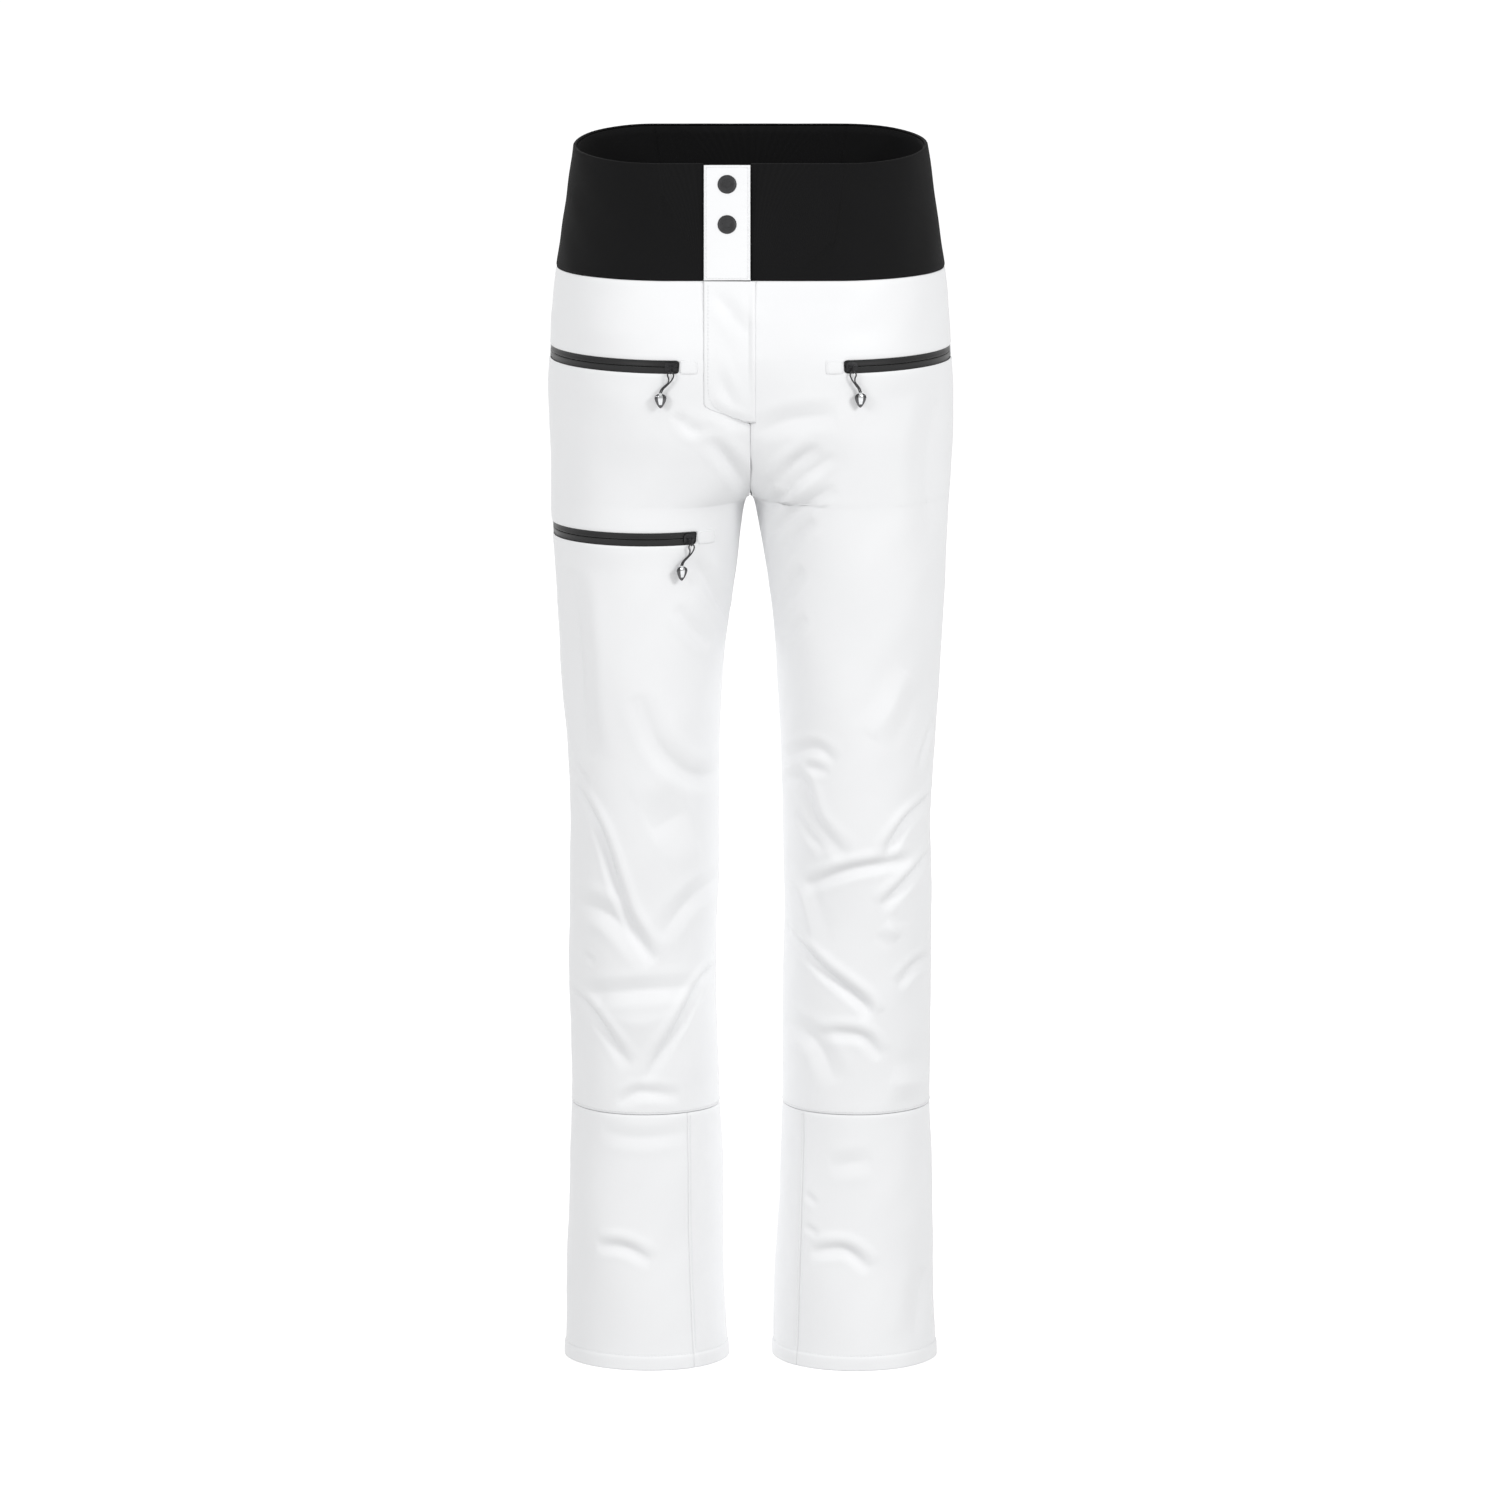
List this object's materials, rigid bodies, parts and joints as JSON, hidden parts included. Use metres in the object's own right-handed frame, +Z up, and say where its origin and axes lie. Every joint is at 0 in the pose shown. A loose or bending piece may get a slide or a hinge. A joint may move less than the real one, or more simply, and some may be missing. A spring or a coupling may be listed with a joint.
{
  "type": "ski pants",
  "caption": "Insulated ski pants with a knit waistband, snap tab over a zipped fly, zipped hand and thigh pockets with swinging pulls, and inner snow gaiters.",
  "frame": {"origin": "middle of the waist opening, level with the top edge of the waistband at the side seams", "axes": "+Z up along the body, -Y the front, +X the wearer's left"},
  "size_m": [0.366, 0.246, 1.1259],
  "materials": {
    "shell_fabric": "smooth woven shell with a slight sheen",
    "waistband_knit": "dense matte stretch knit",
    "coated_zip": "coated water-repellent zip tape, satin",
    "fly_tape": "woven zip tape with a plastic coil",
    "dark_metal": "black lacquered metal",
    "silver_metal": "polished",
    "cord": "braided",
    "lining": "smooth taffeta",
    "elastic": "ribbed knitted elastic"
  },
  "bodies": {
    "root": {"front_panel_right": "shell_fabric", "back_panel_right": "shell_fabric", "lower_leg_right": "shell_fabric", "scuff_guard_right": "shell_fabric", "front_panel_left": "shell_fabric", "back_panel_left": "shell_fabric", "lower_leg_left": "shell_fabric", "scuff_guard_left": "shell_fabric", "right_hand_zip_tape_upper": "coated_zip", "right_hand_zip_tape_lower": "coated_zip", "right_hand_zip_garage": "shell_fabric", "right_hand_pocket_bag": "lining", "left_hand_zip_tape_upper": "coated_zip", "left_hand_zip_tape_lower": "coated_zip", "left_hand_zip_garage": "shell_fabric", "left_hand_pocket_bag": "lining", "thigh_zip_tape_upper": "coated_zip", "thigh_zip_tape_lower": "coated_zip", "thigh_zip_garage": "shell_fabric", "thigh_pocket_bag": "lining", "fly_flap": "shell_fabric", "fly_zip_tape_right": "fly_tape", "fly_zip_tape_left": "fly_tape", "fly_shield": "shell_fabric", "waistband_front_right": "waistband_knit", "waistband_front_left": "waistband_knit", "waistband_back": "waistband_knit", "waist_elastic": "elastic", "waistband_facing": "waistband_knit", "waist_underlap": "waistband_knit", "snap_stud_upper": "dark_metal", "snap_stud_lower": "dark_metal", "lining_right": "lining", "snow_gaiter_right": "lining", "gaiter_elastic_right": "elastic", "lining_left": "lining", "snow_gaiter_left": "lining", "gaiter_elastic_left": "elastic"},
    "right_hand_slider": {"right_hand_zip_slider": "dark_metal"},
    "right_hand_link": {"right_hand_zip_link": "dark_metal"},
    "right_hand_pull": {"right_hand_pull_cord": "cord", "right_hand_pull_charm": "silver_metal"},
    "left_hand_slider": {"left_hand_zip_slider": "dark_metal"},
    "left_hand_link": {"left_hand_zip_link": "dark_metal"},
    "left_hand_pull": {"left_hand_pull_cord": "cord", "left_hand_pull_charm": "silver_metal"},
    "thigh_slider": {"thigh_zip_slider": "dark_metal"},
    "thigh_link": {"thigh_zip_link": "dark_metal"},
    "thigh_pull": {"thigh_pull_cord": "cord", "thigh_pull_charm": "silver_metal"},
    "fly_slider": {"fly_zip_slider": "dark_metal"},
    "fly_pull": {"fly_zip_pull": "dark_metal"},
    "tab": {"closure_tab": "shell_fabric", "snap_cap_upper": "dark_metal", "snap_cap_lower": "dark_metal", "snap_socket_upper": "dark_metal", "snap_socket_lower": "dark_metal"}
  },
  "joints": [
    {"name": "right_hand_zip_slide", "type": "hinge", "parent": "root", "child": "right_hand_slider", "pos_m": [-0.06292, 0, -0.186], "axis": [0, 0, -1], "range_deg": [0, 81.87]},
    {"name": "right_hand_link_flip", "type": "hinge", "parent": "right_hand_slider", "child": "right_hand_link", "pos_m": [-0.0715, -0.12222, -0.18566], "axis": [-0.9975, 0.07, 0], "range_deg": [0, 140]},
    {"name": "right_hand_pull_swing", "type": "hinge", "parent": "right_hand_link", "child": "right_hand_pull", "pos_m": [-0.0715, -0.12222, -0.19142], "axis": [-0.07, -0.9975, 0], "range_deg": [-45, 45]},
    {"name": "left_hand_zip_slide", "type": "hinge", "parent": "root", "child": "left_hand_slider", "pos_m": [0.06292, 0, -0.186], "axis": [0, 0, 1], "range_deg": [0, 72.27]},
    {"name": "left_hand_link_flip", "type": "hinge", "parent": "left_hand_slider", "child": "left_hand_link", "pos_m": [0.09176, -0.11908, -0.18566], "axis": [-0.9719, -0.2354, 0], "range_deg": [0, 140]},
    {"name": "left_hand_pull_swing", "type": "hinge", "parent": "left_hand_link", "child": "left_hand_pull", "pos_m": [0.09176, -0.11908, -0.19142], "axis": [0.2354, -0.9719, 0], "range_deg": [-45, 45]},
    {"name": "thigh_zip_slide", "type": "hinge", "parent": "root", "child": "thigh_slider", "pos_m": [-0.094, -0.008, -0.346], "axis": [0, 0, -1], "range_deg": [0, 114.21]},
    {"name": "thigh_link_flip", "type": "hinge", "parent": "thigh_slider", "child": "thigh_link", "pos_m": [-0.053, -0.08776, -0.34643], "axis": [-0.8894, -0.4571, 0], "range_deg": [0, 140]},
    {"name": "thigh_pull_swing", "type": "hinge", "parent": "thigh_link", "child": "thigh_pull", "pos_m": [-0.053, -0.08776, -0.35218], "axis": [0.4571, -0.8894, 0], "range_deg": [-45, 45]},
    {"name": "fly_zip_slide", "type": "hinge", "parent": "root", "child": "fly_slider", "pos_m": [-0.021, 0.0555, -0.18401], "axis": [1, 0, 0], "range_deg": [0, 28.03]},
    {"name": "fly_pull_lift", "type": "hinge", "parent": "fly_slider", "child": "fly_pull", "pos_m": [-0.021, -0.10786, -0.14211], "axis": [-1, 0, 0], "range_deg": [0, 5]},
    {"name": "tab_open", "type": "hinge", "parent": "root", "child": "tab", "pos_m": [-0.04185, -0.09224, -0.05907], "axis": [0, -0.2573, -0.9663], "range_deg": [0, 150]}
  ]
}
